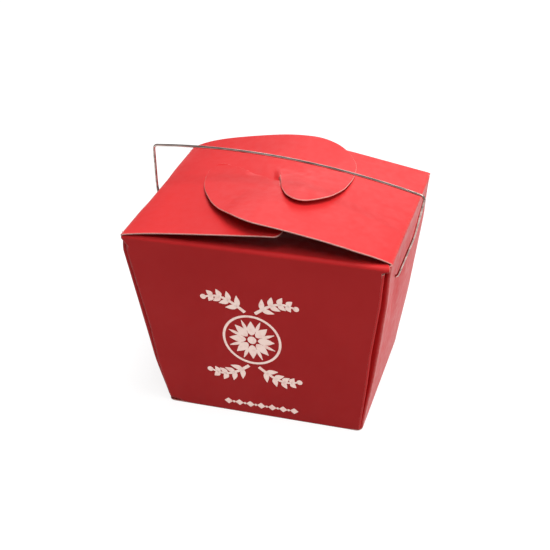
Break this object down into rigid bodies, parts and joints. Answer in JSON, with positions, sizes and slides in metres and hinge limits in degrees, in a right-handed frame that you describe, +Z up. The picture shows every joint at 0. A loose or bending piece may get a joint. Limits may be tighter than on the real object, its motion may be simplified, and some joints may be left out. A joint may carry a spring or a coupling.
{
  "type": "takeout carton",
  "caption": "Closed folded-paperboard takeout carton with tapered walls, an interlocking two-flap lid and a swinging wire bail handle.",
  "frame": {"origin": "middle of the carton's base, on the plane that it stands on", "axes": "+X to the right, -Y to the front (the printed panel), +Z up"},
  "size_m": [0.1097, 0.0758, 0.0969],
  "materials": {
    "paperboard": "red coated paperboard, soft sheen, pale cut edges",
    "wire": "plain drawn steel wire"
  },
  "bodies": {
    "carton": {"carton": "paperboard"},
    "handle": {"wire_handle": "wire"}
  },
  "joints": [
    {"name": "bail_swing", "type": "hinge", "parent": "carton", "child": "handle", "pos_m": [0, -0.00915, 0.0613], "axis": [0.9866, -0.1632, 0], "range_deg": [-31, 50]}
  ]
}
